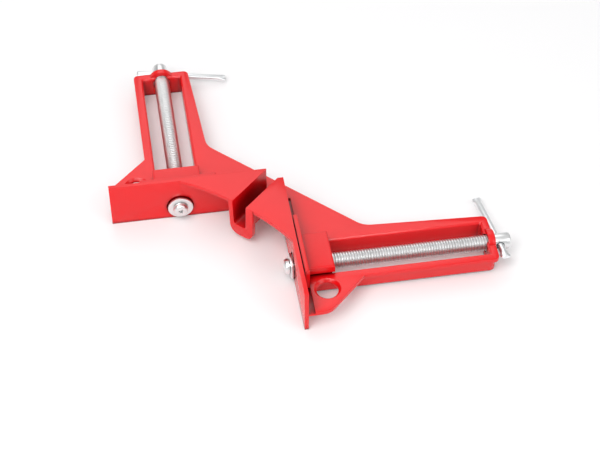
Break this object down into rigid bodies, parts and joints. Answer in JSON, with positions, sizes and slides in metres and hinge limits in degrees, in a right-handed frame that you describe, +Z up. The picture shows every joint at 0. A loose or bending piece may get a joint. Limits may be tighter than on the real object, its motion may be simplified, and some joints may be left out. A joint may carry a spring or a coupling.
{
  "type": "corner clamp",
  "caption": "Right-angle corner clamp: an enamelled casting with a mitre saw channel, and on each arm a jaw drawn along a window by a threaded spindle with a cross bar.",
  "frame": {"origin": "under the middle of the clamp's outline, on the plane that the fences and rails stand on", "axes": "+Z up; +Y along the left arm and +X along the right arm, both outward from the corner; the saw channel runs towards -X -Y"},
  "size_m": [0.2262, 0.2262, 0.0291],
  "materials": {
    "enamel": "glossy stoved enamel over a die casting",
    "zinc": "bright zinc plate",
    "bar_steel": "bright drawn steel"
  },
  "bodies": {
    "frame": {"frame_casting": "enamel"},
    "left_jaw": {"left_jaw": "enamel"},
    "left_spindle": {"left_spindle": "zinc", "left_washer": "zinc", "left_end_screw": "zinc"},
    "left_tommy_bar": {"left_tommy_bar": "bar_steel"},
    "right_jaw": {"right_jaw": "enamel"},
    "right_spindle": {"right_spindle": "zinc", "right_washer": "zinc", "right_end_screw": "zinc"},
    "right_tommy_bar": {"right_tommy_bar": "bar_steel"}
  },
  "joints": [
    {"name": "left_jaw_slide", "type": "slide", "parent": "frame", "child": "left_jaw", "axis": [0, 1, 0], "range_m": [0, 0.08731]},
    {"name": "left_spindle_turn", "type": "hinge", "parent": "left_jaw", "child": "left_spindle", "pos_m": [-0.0723, -0.0139, 0.0089], "axis": [0, 1, 0], "range_deg": [0, 19800]},
    {"name": "left_tommy_bar_slide", "type": "slide", "parent": "left_spindle", "child": "left_tommy_bar", "axis": [-0.9885, 0.0593, 0.1389], "range_m": [-0.0053, 0.031]},
    {"name": "right_jaw_slide", "type": "slide", "parent": "frame", "child": "right_jaw", "axis": [1, 0, 0], "range_m": [0, 0.08731]},
    {"name": "right_spindle_turn", "type": "hinge", "parent": "right_jaw", "child": "right_spindle", "pos_m": [-0.0139, -0.0723, 0.0089], "axis": [1, 0, 0], "range_deg": [0, 19800]},
    {"name": "right_tommy_bar_slide", "type": "slide", "parent": "right_spindle", "child": "right_tommy_bar", "axis": [0.0593, -0.9885, 0.1389], "range_m": [-0.0053, 0.031]}
  ],
  "couplings": [
    {"joint": "left_spindle_turn", "follows": "left_jaw_slide", "rad_per_m": 3957.9},
    {"joint": "right_spindle_turn", "follows": "right_jaw_slide", "rad_per_m": 3957.9}
  ]
}
